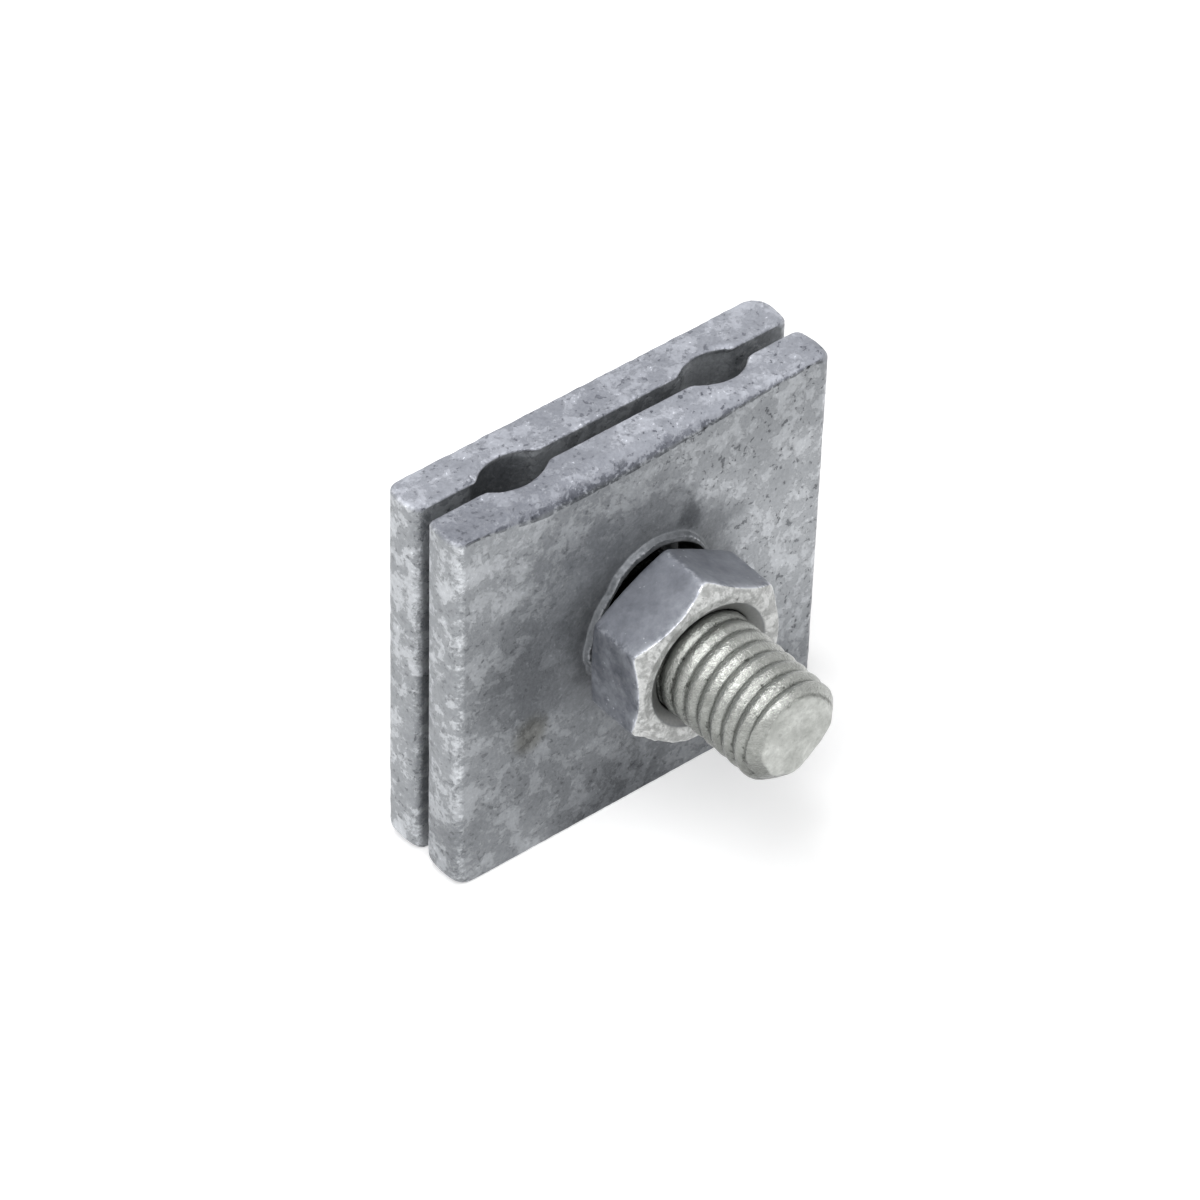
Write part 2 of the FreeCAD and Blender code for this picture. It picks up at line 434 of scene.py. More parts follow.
def plate_grid(inner_y, side, grooves, hole_centre, hole_at, corner_radii, upright_radii, shear_radii, rim):
    """Grid and masks of a plate. upright_radii are (right inner, left inner, right outer, left outer)
    and shear_radii are (inner bottom, outer bottom, outer top as a function of x, inner top)."""
    outline, normal = plate_outline(corner_radii)
    across, up = normal[:, 0], normal[:, 1]
    right_inner, left_inner, right_outer, left_outer = upright_radii
    inner_bottom, outer_bottom, outer_top_at, inner_top = shear_radii

    def edge_radii(right, left, top, bottom):
        """At each outline point: radius of its upright edge, of its level edge, and their blend."""
        upright = np.where(outline[:, 0] > 0, right, left)
        level = np.where(outline[:, 1] > 0, top, bottom)
        blend = across ** 2 * np.where(across > 0, right, left) + up ** 2 * np.where(up > 0, top, bottom)
        return upright, level, blend

    outer_x, outer_z, outer = edge_radii(right_outer, left_outer, outer_top_at(outline[:, 0]), outer_bottom)
    inner_x, inner_z, inner = edge_radii(right_inner, left_inner, inner_top, inner_bottom)

    def edge_place(inset_x, inset_z, depth):
        """Outline points at a depth, moved inwards by insets and by the ends' crown."""
        crown = end_crown * (2 * depth / plate_thickness - 1) ** 2
        shrink = np.stack([(inset_x + crown) / (plate_width / 2), inset_z / (plate_height / 2)], axis=-1)
        return outline * (1 - shrink)

    def outer_place(depth):
        """Outline points at a depth, inside both the upright and the level rounding of the outer face."""
        insets = []
        for radius in (outer_x, outer_z):
            share = np.clip(1 - (plate_thickness - depth) / radius, 0, 1)
            insets.append(radius * (1 - np.sqrt(1 - share ** 2)))
        return edge_place(*insets, depth)

    top = plate_thickness
    border = edge_place(outer_x, outer_z, np.full(len(outline), top))
    toward = border - hole_centre
    angles = np.arctan2(toward[:, 1], toward[:, 0])
    direction = np.stack([np.cos(angles), np.sin(angles)], axis=-1)
    hole = hole_at(angles)
    crest, height, grown = rim_shape(angles) if rim else (0 * hole, 0 * hole, 0 * hole)
    path = PlatePath(inner_y, side)

    def ring(radius):
        return hole_centre + direction * radius[:, None]

    # Outer face, from the foot of the rim to the border
    slope = rim_slope_width if rim else plain_hole_margin
    foot = ring(hole + grown + crest + slope)
    for share in np.linspace(0, 1, face_rows)[:-1] ** face_crowding:
        path.add(foot + (border - foot) * share, top)
    # Rounded outer edge, end and rounded inner edge
    for turn in np.radians(np.linspace(0, 90, outer_edge_rows)):
        depth = top - outer * (1 - math.cos(turn))
        path.add(outer_place(depth), depth, end=math.sin(turn), roll=1 - math.sin(turn))
    land = groove_depth(outline[:, 0], grooves)
    for share in np.linspace(0, 1, end_rows)[1:-1]:
        depth = top - outer + (land + inner - top + outer) * share
        path.add(outer_place(depth), depth, end=1.0)
    for turn in np.radians(np.linspace(90, 0, inner_edge_rows)):
        inset = 1 - math.sin(turn)
        depth = land + inner * (1 - math.cos(turn))
        path.add(edge_place(inner_x * inset, inner_z * inset, depth), depth, end=math.sin(turn))
    # Inner face with its grooves, up to the hole
    inner_start = edge_place(inner_x, inner_z, land)
    hole_back = ring(hole)
    for share in np.linspace(0, 1, inner_face_rows)[1:]:
        place = inner_start + (hole_back - inner_start) * share
        depth = groove_depth(place[:, 0], grooves)
        path.add(place, depth, inside=np.clip(depth, 0, 1))
    # Wall of the hole, then the crest and the slope of its rim
    for share in np.linspace(0, 1, wall_rows)[1:-1]:
        wall = (top + height) * share - wall_round * height * (share > 0.9)
        path.add(ring(hole + grown * share ** 2), wall, rim=share ** 6, inside=1 - share ** 4)
    for share in np.linspace(0, 1, crest_rows):
        round_off = crest_round * height * (1 - min(1, share * 4)) ** 2
        depth = top + height * (1 - crest_fall * share) - round_off
        radius = hole + grown + crest * (crest_start + (1 - crest_start) * share)
        path.add(ring(radius), depth, rim=1.0, lip=share ** 6)
    for share in np.linspace(0, 1, slope_rows)[1:-1]:
        left = (1 - crest_fall) * height * (1 - share * share * (3 - 2 * share))
        radius = hole + grown + crest + slope * share
        path.add(ring(radius), top + left, rim=1 - share, lip=(1 - share) ** 6)

    end = path.mask("end")
    top_side = np.clip(up, 0, 1)
    outer_arc = step_between(path.mask("roll"), 0, 0.02)
    worn_edges = 4 * end * (1 - end) * (1 - outer_arc * top_side)
    worn_corners = end * (2 * across * up) ** 2
    masks = {
        "sheared": step_between(end, 0.05, 0.35) * top_side,
        "edge": end,
        "rim": path.mask("rim"),
        "lip": path.mask("lip"),
        "inside": path.mask("inside"),
        "roll": path.mask("roll") * top_side,
        "worn": np.maximum(worn_edges, worn_corners),
    }
    grid = np.array(path.rows)
    taper = np.where(grid[..., 0] > 0, right_taper, left_taper) / (plate_width / 2)
    grid[..., 0] *= 1 - taper * (1 - grid[..., 2] / plate_height)
    return grid, masks


def roughen_plate(grid, masks, seed, keep_clear, inner_y, side):
    """Uneven hot-dipped zinc: broad waves, lumps and grain, with straight worn edges. On the inner
    face the lumps are rubbed flat, so that the closed plates don't cut into each other."""
    ends, rims = masks["edge"], masks["rim"]
    normal = grid_normals(grid, True)
    from_side = plate_width / 2 - np.abs(grid[..., 0])
    from_level_end = plate_height / 2 - np.abs(grid[..., 2] - plate_height / 2)
    inland = step_between(np.minimum(from_side, from_level_end), *wave_fade)
    waves = wave_height * inland * layered_noise(grid, wave_size, seed, 2)
    lumps = lump_height + end_lump_height * ends + rim_lump_height * rims
    lumps = lumps * layered_noise(grid, lump_size, seed + 5, 3) * (1 - 0.6 * masks["worn"])
    grain = (grain_height + end_grain_height * ends) * layered_noise(grid, grain_size, seed + 9, 2)
    pits = -pit_depth * masks["roll"] * np.clip(layered_noise(grid, pit_size, seed + 13, 2), 0, 1)
    radial = np.hypot(grid[..., 0] - axis_x, grid[..., 2] - axis_z)
    clear = step_between(radial, keep_clear, keep_clear + 1.5)
    amount = (waves * (1 - rims) + lumps + grain + pits) * np.maximum(clear, rims * 0.6)
    grid = grid + normal * amount[..., None]
    grid[..., 1] = inner_y + side * np.maximum(side * (grid[..., 1] - inner_y), -inner_face_lump)
    return grid


def make_front_plate():
    uprights = (edge_radius, narrow_edge_radius, face_edge_radius, face_edge_radius)
    shears = (shear_small_radius, shear_sharp_radius, roll_over, shear_sharp_radius)
    centre = np.array([hole_x, hole_z - plate_height / 2])
    grid, masks = plate_grid(
        front_inner, -1, front_grooves, centre, round_hole, plate_corners, uprights, shears, True)
    grid = roughen_plate(grid, masks, 101, hole_radius, front_inner, -1)
    return make_piece("front_plate_zinc", grid, masks, True, "front_jaw", "front_plate")


def make_back_plate():
    uprights = (face_edge_radius, face_edge_radius, worn_edge_radius, edge_radius)
    shears = (shear_sharp_radius, shear_radius, sharp_top, shear_sharp_radius)
    centre = np.array([axis_x, axis_z - plate_height / 2])
    grid, masks = plate_grid(
        back_inner, 1, back_grooves, centre, square_hole, plate_corners, uprights, shears, False)
    grid = roughen_plate(grid, masks, 301, head_radius, back_inner, 1)
    return make_piece("back_plate_zinc", grid, masks, True, "back_jaw", "back_plate")


# Bolt and nut

def thread_phase(angles, y):
    """Where on the right-hand thread a point lies: whole numbers are crests."""
    return (y - bolt_low[1] - thread_start) / thread_pitch + angles / (2 * math.pi)


def thread_fall(angles, y):
    """Depth below the crest of the worn thread: wide crests and narrow valleys."""
    wave = 0.5 + 0.5 * np.cos(2 * math.pi * thread_phase(angles, y))
    return thread_depth * (1 - wave ** thread_crest_power)


def round_points(radius, y, angles):
    """Grid points round the bolt's axis from a grid of radii and y."""
    radius, y, angles = np.broadcast_arrays(radius, y, angles)
    return np.stack([axis_x + radius * np.cos(angles), y, axis_z + radius * np.sin(angles)], axis=-1)


def rounded_square(angles, half, corner):
    """Radius of a square with rounded corners at each angle."""
    along = np.maximum(np.abs(np.cos(angles)), np.abs(np.sin(angles)))
    aside = np.minimum(np.abs(np.cos(angles)), np.abs(np.sin(angles)))
    flat = half / along
    inset = half - corner
    middle = inset * (along + aside)
    reach = middle + np.sqrt(np.clip(middle ** 2 - 2 * inset ** 2 + corner ** 2, 0, None))
    return np.where(flat * aside > inset, reach, flat)


def tip_limit(angles, y):
    """The bolt's radius near its tip: a worn chamfer with two flats from the shear."""
    depth = y - bolt_low[1]
    cone = shank_radius - tip_chamfer + swells(angles, tip_swells) + depth
    cone = cone + tip_unevenness * layered_noise(circle_points(angles, 4), 2.0, 431, 2)
    for centre, distance, slope in tip_flats:
        away = np.cos(angles - math.radians(centre))
        flat = (distance + slope * depth) / np.maximum(away, 0.2)
        cone = smooth_least(cone, flat, tip_softness)
    return cone


def bolt_outline(angles):
    """Rows of radius and y from the tip's middle along thread, shank and neck to the head's crown."""
    tip = bolt_low[1]
    neck_start = head_seat - neck_length
    radii = []
    places = []

    def add(radius, y):
        radius, y = np.broadcast_arrays(radius, y + 0 * angles)
        radii.append(radius)
        places.append(y)

    edge = tip_limit(angles, tip)
    for share in np.linspace(0.06, 0.97, 16):
        add(edge * share, tip)
    y = np.arange(tip + 0.06, neck_start, shank_row_step)[:, None]
    plain = step_between(y, thread_end, thread_end + thread_run_out)
    depth_share = 1 - (1 - filled_share) * step_between(y, *filled_stretch)
    radius = shank_radius - thread_fall(angles, y) * depth_share * (1 - plain) - plain_shank_drop * plain
    add(smooth_least(radius, tip_limit(angles, y), 0.35), y)
    neck = rounded_square(angles, neck_width / 2, neck_corner)
    for y in np.linspace(neck_start, head_seat - 0.05, 16):
        add(neck, y)
    for share in np.linspace(0.08, 1, 14):
        add(neck + (head_radius - 0.2 - neck) * share, head_seat)
    for y in np.linspace(head_seat + 0.2, head_seat + head_rim, 5):
        add(head_radius, y)
    crown_height = bolt_high[1] - head_seat - head_rim
    dome_radius = (head_radius ** 2 + crown_height ** 2) / (2 * crown_height)
    lean = math.asin(head_radius / dome_radius)
    for share in np.linspace(1, 0.03, 40)[1:]:
        turn = lean * share
        add(dome_radius * math.sin(turn), bolt_high[1] - dome_radius * (1 - math.cos(turn)))
    return np.vstack(radii), np.vstack(places)


def make_bolt():
    angles = round_angles(bolt_columns)
    radius, y = bolt_outline(angles)
    grid = soften(round_points(radius, y, angles), False)
    normal = grid_normals(grid, False)
    tip = bolt_low[1]
    outside = step_between(-y, -front_face, -front_face + 3)
    head = step_between(y, head_seat + 0.1, head_seat + 0.6)
    lumps = bolt_lump_height * layered_noise(grid, 1.3, 401)
    grain = bolt_grain_height * layered_noise(grid, 0.5, 411, 2)
    dish = tip_dish_height * layered_noise(grid, 4.0, 421, 2) * step_between(-y, -tip - 0.3, -tip)
    amount = (lumps + grain) * (shank_roughness * outside + head) + dish
    grid = grid + normal * amount[..., None]
    behind_nut = step_between(y, nut_rear - 0.6, nut_rear + 0.4)
    before_head = step_between(-y, -head_seat, -head_seat + 0.5)
    masks = {
        "valley": thread_fall(angles, y) / thread_depth * step_between(-y, -thread_end, -thread_end + 1),
        "tip": step_between(-y, -tip - 0.35, -tip - 0.02),
        "hidden": behind_nut * before_head,
    }
    return make_piece("bolt_zinc", grid, masks, False, "back_jaw", "bolt")


def from_flat_middle(angles):
    """Degrees from each angle to the middle of the nut's flat that it lies on, up to 30 at a corner."""
    return (np.degrees(angles) + 30) % 60 - 30


def nut_outline(angles):
    """Rows of radius and y round the nut's section from its front mouth, with weights for its bore, its
    pale front, the painted highlight line on its arches and the painted glow beside it."""
    hex_radius = nut_flat / np.cos(np.radians(from_flat_middle(angles)))
    worn_radius = np.full_like(hex_radius, nut_corner - nut_corner_wear)
    hex_radius = smooth_least(hex_radius, worn_radius, nut_corner_softness)
    arch_width = np.clip(hex_radius - nut_front_radius, nut_least_arch, None)
    front_drop = arch_width * math.tan(math.radians(nut_arch_angle))
    rear_drop = (hex_radius - nut_face_radius) * math.tan(math.radians(nut_rear_angle))
    bore = shank_radius + nut_bore_clearance

    # The section's corners: radius, y, rows up to the next corner, and 1 where the painted highlight line
    # runs
    corners = [
        (nut_mouth, nut_front + nut_dish, 12, 0),
        (nut_front_radius - 0.5, nut_front, 30, 0),
        (hex_radius, nut_front + front_drop, 26, 1),
        (hex_radius, nut_rear - rear_drop, 12, 0),
        (nut_face_radius, nut_rear, 8, 0),
        (nut_mouth, nut_rear, 5, 0),
        (bore, nut_rear - nut_mouth_depth, nut_bore_rows, 0),
        (bore, nut_front + nut_mouth_depth, 12, 0),
    ]
    radii = []
    places = []
    arch = []
    painted_glow = []
    for index, (radius, y, count, line) in enumerate(corners):
        next_radius, next_y, _, next_line = corners[(index + 1) % len(corners)]
        for share in np.linspace(0, 1, count, endpoint=False):
            radii.append(radius + (next_radius - radius) * share + 0 * angles)
            places.append(y + (next_y - y) * share + 0 * angles)
            arch.append(line * (1 - share) ** 22 + next_line * share ** 12)
            painted_glow.append(line * (1 - share) ** 3)
    front = np.zeros(len(radii))
    front[:corners[0][2] + corners[1][2]] = 1
    in_bore = np.zeros(len(radii))
    first = sum(corner[2] for corner in corners[:6])
    in_bore[first:first + nut_bore_rows] = 1
    weights = [np.array(values)[:, None] for values in (in_bore, front, arch, painted_glow)]
    return np.vstack(radii), np.vstack(places), weights


def make_nut():
    angles = round_angles(nut_columns)
    radius, y, (in_bore, front, arch, painted_glow) = nut_outline(angles)
    thread = shank_radius - thread_fall(angles, y) * filled_share + nut_thread_clearance
    threaded = in_bore * step_between(y, nut_front + 0.9, nut_front + 1.7)
    threaded = threaded * step_between(-y, -nut_rear + 0.6, -nut_rear + 1.4)
    radius = radius + threaded * (thread - radius)
    grid = soften(round_points(radius, y, angles), True)
    normal = grid_normals(grid, True)
    across = np.hypot(grid[..., 0] - axis_x, grid[..., 2] - axis_z)
    outside = step_between(across, nut_mouth - 0.25, nut_mouth + 0.15)
    corner = step_between(np.abs(from_flat_middle(angles)), 28.0, 29.8)
    lumps = nut_lump_height + nut_front_lump_height * front + nut_corner_lump_height * corner
    lumps = lumps * layered_noise(grid, 1.5, 501, 3)
    spatter = swell(angles, *spatter_place) * step_between(across, nut_flat - 1.5, nut_flat)
    spatter = spatter * step_between(-y, -nut_front - 2, -nut_front)
    lumps = lumps + spatter_height * spatter * layered_noise(grid, 0.9, 521, 2)
    waves = nut_wave_height * layered_noise(grid, 5.0, 511, 2)
    grid = grid + normal * ((lumps + waves) * outside)[..., None]
    masks = {
        "front": front,
        # The arch line and the glow beside it carry painted highlight and painted light.
        "arch": arch,
        "painted_glow": painted_glow * swell(angles, 105, 40),
        "corner": corner * outside * (1 - front),
        "bore": 1 - outside,
    }
    return make_piece("nut_zinc", grid, masks, True, "nut", "nut")


# Materials

class Shader:
    """A material's node tree, with short calls for the nodes used here. Texture sizes are in mm and
    brightness is in 8-bit screen levels until the colour is made."""

    def __init__(self, name):
        self.material = bpy.data.materials.new(name)
        self.material.use_nodes = True
        self.tree = self.material.node_tree
        self.surface = self.tree.nodes["Principled BSDF"]
        coordinates = self.node("TexCoord")
        self.place = self.vector("SCALE", coordinates.outputs["Object"], scale=1 / MM)
        parts = self.node("SeparateXYZ")
        self.link(self.place, parts.inputs[0])
        self.x, self.y, self.z = parts.outputs

    def node(self, kind):
        return self.tree.nodes.new("ShaderNode" + kind)

    def link(self, source, target):
        if hasattr(source, "is_output"):
            self.tree.links.new(source, target)
        else:
            target.default_value = source

    def math(self, operation, a, b=0.0, c=0.0):
        node = self.node("Math")
        node.operation = operation
        for value, target in zip((a, b, c), node.inputs):
            self.link(value, target)
        return node.outputs[0]

    def add(self, level, *parts):
        """A level plus each part, which is a value and the steps that it adds where it is 1."""
        for value, steps in parts:
            level = self.math("MULTIPLY_ADD", value, steps, level)
        return level

    def toward(self, level, target, share):
        """A level moved towards a target level by a share from 0 to 1."""
        return self.math("MULTIPLY_ADD", share, self.math("SUBTRACT", target, level), level)

    def plus(self, a, b):
        return self.math("ADD", a, b)

    def both(self, a, b):
        return self.math("MULTIPLY", a, b)

    def without(self, share):
        return self.math("SUBTRACT", 1.0, share)

    def vector(self, operation, a, b=(0.0, 0.0, 0.0), scale=1.0):
        node = self.node("VectorMath")
        node.operation = operation
        self.link(a, node.inputs[0])
        self.link(b, node.inputs[1])
        if operation == "SCALE":
            node.inputs["Scale"].default_value = scale
        return node.outputs["Value"] if operation == "DISTANCE" else node.outputs["Vector"]

    def noise(self, size, detail, roughness, distortion, offset):
        """Fractal noise about zero: most values lie between -1 and 1."""
        node = self.node("TexNoise")
        self.link(self.vector("ADD", self.place, offset), node.inputs["Vector"])
        node.inputs["Scale"].default_value = 1 / size
        node.inputs["Detail"].default_value = detail
        node.inputs["Roughness"].default_value = roughness
        node.inputs["Distortion"].default_value = distortion
        return self.both(self.math("SUBTRACT", node.outputs["Fac"], 0.5), 5.0)

    def between(self, value, low, high):
        """0 below low, 1 above high, smooth between."""
        node = self.node("MapRange")
        node.interpolation_type = "SMOOTHSTEP"
        self.link(value, node.inputs["Value"])
        node.inputs["From Min"].default_value = low
        node.inputs["From Max"].default_value = high
        return node.outputs["Result"]

    def mask(self, name):
        node = self.node("Attribute")
        node.attribute_name = name
        return node.outputs["Fac"]

    def near(self, point, radius, softness, wobble):
        """1 close to a point of the front face, 0 beyond the radius, with an edge that the wobble bends."""
        flat = self.vector("MULTIPLY", self.place, (1.0, 0.0, 1.0))
        away = self.vector("DISTANCE", flat, (point[0], 0.0, point[1]))
        away = self.plus(away, wobble)
        return self.without(self.between(away, radius - softness, radius + softness))

    def colour(self, level, red, blue):
        """A linear colour from a screen level, warmed by red or cooled by blue screen steps."""
        node = self.node("CombineColor")
        for channel, shift in enumerate((red, 3.0, self.plus(blue, 7.0))):
            part = self.math("DIVIDE", self.plus(level, shift), 255.0)
            part = self.math("MAXIMUM", part, 0.05)
            self.link(self.math("POWER", part, 2.2), node.inputs[channel])
        return node.outputs[0]

    def finish(self, colour, metallic, roughness, height, distance):
        """Sets the surface: its height in the bump is 1 at that distance in mm."""
        self.link(colour, self.surface.inputs["Base Color"])
        self.surface.inputs["Metallic"].default_value = metallic
        self.link(roughness, self.surface.inputs["Roughness"])
        bump = self.node("Bump")
        bump.inputs["Distance"].default_value = distance * MM
        self.link(height, bump.inputs["Height"])
        self.link(bump.outputs["Normal"], self.surface.inputs["Normal"])
        return self.material


# Screen levels of the plates, the bolt and the nut before their noise
face_level = 133.0
pale_right_level = 182.0
end_level = 178.0
front_top_level = 150.0
back_top_level = 164.0
rim_level = 114.0
# Painted highlight on the rim's lip
lip_highlight_level = 200.0
# Painted shade in the grooves and on the hole's wall
groove_shade_level = 108.0
# Painted shade under the bolt
bolt_underside_shade_level = 90.0
# Painted shade in the thread's valleys
valley_shade_level = 96.0
dirt_level = 60.0
tip_level = 184.0
# Painted shade on the shank hidden inside the plates
hidden_shade_level = 34.0
nut_flat_level = 129.0
nut_dot_level = 214.0
nut_front_level = 174.0
nut_corner_level = 190.0
# Painted highlight along the nut's arches
nut_arch_highlight_level = 236.0
nut_bore_level = 138.0

# Soft zones of the front face: centre x and z, radius, softness, and change in screen levels
face_zones = (
    ((-18.0, 41.0), 6.0, 4.0, 14),
    ((-1.0, 29.0), 11.5, 4.0, -10),
    ((-16.0, 25.0), 6.5, 4.0, -30),
    ((-19.0, 8.0), 6.0, 5.0, -12),
    ((-7.0, 19.5), 4.0, 3.0, -10),
    ((-3.0, -2.0), 7.0, 5.0, -44),
    ((6.2, 37.0), 2.0, 1.3, -38),
    ((6.0, 43.0), 4.0, 3.0, -10),
)

# The front face's pale right part, its pale left border, its calm middle and its stain
pale_right_start = 12.0
pale_right_lean = 0.8
pale_right_lean_from = 34.0
pale_left_waist = 26.0
pale_left_spread = 0.4
calm_place = (0.5, 27.0)
calm_radius = 15.0
stain_place = (-15.0, 17.2)
stain_radius = 2.2


class PlateShader(Shader):
    """Weathered hot-dipped zinc: soft clouds, ragged flakes, fine grain and small dark pits, with painted
    glints, highlights, light and shade in places.
    level is the brightness so far, mottle and pitting say how strongly its noise and pits show."""

    def __init__(self, name, front):
        super().__init__(name)
        self.front = front
        self.broad = self.noise(11.0, 2, 0.5, 0.0, (3, 7, 11))
        self.cloud = self.noise(4.5, 5, 0.62, 0.15, (31, 5, 17))
        self.flake = self.noise(1.9, 8, 0.72, 0.25, (9, 41, 3))
        self.grain = self.noise(0.42, 4, 0.62, 0.0, (57, 13, 29))
        self.pits = self.noise(0.75, 4, 0.58, 0.3, (71, 23, 8))
        self.patch = self.between(self.add(self.flake, (self.cloud, 0.6)), -0.10, 0.22)
        self.patchy = self.math("SUBTRACT", self.patch, 0.5)
        self.pitted = self.between(self.add(self.pits, (self.flake, -0.35)), 0.60, 0.80)
        self.sheared = self.mask("sheared")
        self.level = face_level
        self.mottle = 1.0
        self.pitting = 0.6
        self.stain = 0.0

    def shift(self, *parts):
        self.level = self.add(self.level, *parts)

    def cover(self, level, share):
        self.level = self.toward(self.level, level, share)

    def place_front_parts(self):
        """The front face's zones, pale right part with a painted shadow low down, paler upper and left
        borders, calm middle and stain.
        """
        wobble = self.both(self.noise(5.0, 6, 0.6, 0.0, (12, 44, 25)), 2.6)
        rise = self.math("MAXIMUM", self.math("SUBTRACT", self.z, pale_right_lean_from), 0.0)
        lean = self.plus(self.add(self.x, (rise, pale_right_lean)), wobble)
        right = self.between(lean, pale_right_start - 2.5, pale_right_start + 2.0)
        elsewhere = self.without(right)
        for place, radius, softness, change in face_zones:
            zone = self.both(self.near(place, radius, softness, wobble), elsewhere)
            self.shift((zone, change))
        upper = self.between(self.plus(self.z, wobble), 41.0, 46.0)
        spread = self.math("ABSOLUTE", self.math("SUBTRACT", self.z, pale_left_waist))
        from_left = self.add(self.plus(self.x, wobble), (spread, -pale_left_spread))
        left = self.without(self.between(from_left, -24.0, -19.0))
        self.shift((upper, 20), (left, 20))
        high = self.between(self.z, 36.0, 45.0)
        # Painted shadow of the nut and bolt: the pale right part darkens towards its foot.
        low = self.without(self.between(self.z, 4.0, 24.0))
        self.cover(self.add(pale_right_level, (high, -24), (low, -40)), right)
        calm = self.both(self.near(calm_place, calm_radius, 4.0, wobble), elsewhere)
        self.mottle = self.add(1.0, (calm, -0.65))
        self.pitting = self.add(0.4, (right, 0.6))
        self.stain = self.near(stain_place, stain_radius, 1.1, self.both(wobble, 0.15))
        self.shift((self.stain, -34))

    def weather_faces(self):
        """Broad waves of brightness, with clouds, patches and flakes."""
        self.shift((self.broad, 5))
        for noise, steps in ((self.cloud, 9), (self.patchy, 17), (self.flake, 10)):
            self.shift((self.both(noise, self.mottle), steps))

    def paint_ends(self):
        """The plates' rolled side ends, the front one darker at its foot."""
        level = self.add(end_level, (self.patchy, 26), (self.cloud, 13), (self.flake, 18))
        if self.front:
            level = self.add(level, (self.without(self.between(self.z, 5.0, 18.0)), -24))
        self.cover(level, self.mask("edge"))

    def paint_tops(self):
        """The sheared top ends: the front one paler to the right, the back one towards both corners."""
        if self.front:
            level = self.add(front_top_level, (self.between(self.x, -16.0, 0.0), 22))
        else:
            outwards = self.between(self.math("ABSOLUTE", self.x), 8.0, 24.0)
            level = self.add(back_top_level, (outwards, 10))
        level = self.add(level, (self.cloud, 7), (self.flake, 12), (self.patchy, 16))
        self.cover(level, self.sheared)

    def speckle(self):
        """Fine grain, dark pits, painted white glints and bright worn edges."""
        pitted = self.both(self.both(self.pitted, self.mottle), self.pitting)
        # Painted highlight: white glints, stronger on the sheared tops.
        painted_glint = self.between(self.add(self.grain, (self.flake, 0.5)), 0.85, 1.15)
        painted_glint = self.both(painted_glint, self.plus(self.sheared, 0.5))
        rubbed = self.between(self.plus(self.grain, self.flake), -0.2, 0.7)
        worn = self.both(self.mask("worn"), rubbed)
        self.shift((self.grain, 9), (pitted, -52), (painted_glint, 34), (worn, 24))

    def paint_seam(self):
        """A dark, crusty seam under the front plate's worn top edge."""
        place = self.add(self.mask("roll"), (self.flake, 0.5))
        crust = self.between(self.plus(self.pits, self.flake), -0.7, 0.1)
        seam = self.both(self.between(place, 0.30, 0.65), crust)
        self.shift((seam, -62))

    def paint_rim(self):
        """The grey rim round the hole, with a painted highlight along its lip."""
        level = self.add(rim_level, (self.grain, 14))
        self.cover(level, self.both(self.mask("rim"), 0.8))
        # Painted highlight: a white line along the lip's crest.
        lip = self.both(self.mask("lip"), self.between(self.plus(self.grain, self.cloud), -0.5, 0.6))
        self.cover(lip_highlight_level, lip)

    def paint_groove_shade(self):
        """Painted shade in the grooves and on the hole's wall, with painted light that makes the right
        groove paler.
        """
        # Painted light: the right groove is lifted by 50 levels.
        right = self.between(self.x, 9.0, 12.0)
        level = self.add(groove_shade_level, (self.cloud, 12), (self.grain, 14), (right, 50))
        self.cover(level, self.mask("inside"))

    def finish_plate(self):
        """A bluish top, a brownish stain, and bump from patches, grain and pits."""
        red = self.both(self.stain, 2.0)
        blue = self.add(self.both(self.stain, -6.0), (self.sheared, 5.0))
        height = self.add(self.both(self.patch, 0.4), (self.grain, 0.16), (self.pitted, -0.7))
        matt = self.add(0.52, (self.flake, 0.08))
        colour = self.colour(self.level, red, blue)
        return self.finish(colour, 0.45, matt, self.both(height, self.mottle), 0.08)


def plate_material(name, front):
    s = PlateShader(name, front)
    if front:
        s.place_front_parts()
    s.weather_faces()
    s.paint_ends()
    s.paint_tops()
    s.speckle()
    if front:
        s.paint_seam()
    s.paint_rim()
    s.paint_groove_shade()
    return s.finish_plate()


def bolt_material():
    """Bright zinc over a rolled thread: satin crests and dark specks, with painted light on its upper side
    and painted shade underneath, in its valleys and on the hidden shank.
    """
    s = Shader("bolt_zinc")
    valley = s.mask("valley")
    tip = s.mask("tip")
    cloud = s.noise(2.6, 5, 0.62, 0.2, (15, 9, 22))
    grain = s.noise(0.5, 6, 0.66, 0.2, (5, 19, 2))
    speck = s.noise(0.8, 6, 0.68, 0.4, (44, 12, 6))
    crinkle = s.noise(0.28, 3, 0.6, 0.0, (17, 3, 38))
    # Painted light and shade: the bolt is paler on its upper side and darker underneath.
    high = s.between(s.z, axis_z - 6.0, axis_z + 4.5)
    level = s.add(bolt_underside_shade_level, (high, 74), (cloud, 12), (grain, 16))
    # Painted shade in the thread's deep valleys.
    deep = s.both(s.between(valley, 0.6, 1.0), s.between(s.plus(cloud, grain), -1.0, 0.4))
    level = s.toward(level, s.add(valley_shade_level, (grain, 14)), s.both(deep, 0.8))
    crust = s.between(s.add(speck, (high, -0.35)), 0.05, 0.45)
    dirt = s.both(crust, s.between(valley, 0.4, 0.75))
    level = s.toward(level, dirt_level, s.both(dirt, 0.8))
    spots = s.between(s.add(speck, (cloud, 0.4)), 1.0, 1.25)
    level = s.toward(level, s.add(tip_level, (cloud, 24), (grain, 14), (spots, -52)), tip)
    # Painted shade on the shank hidden inside the plates.
    level = s.toward(level, hidden_shade_level, s.mask("hidden"))
    matt = s.add(0.14, (grain, 0.04), (deep, 0.22), (tip, 0.30))
    height = s.add(s.both(grain, 0.25), (crinkle, 0.30), (dirt, -0.8))
    return s.finish(s.colour(level, 1.0, -8.0), 0.8, matt, height, 0.07)


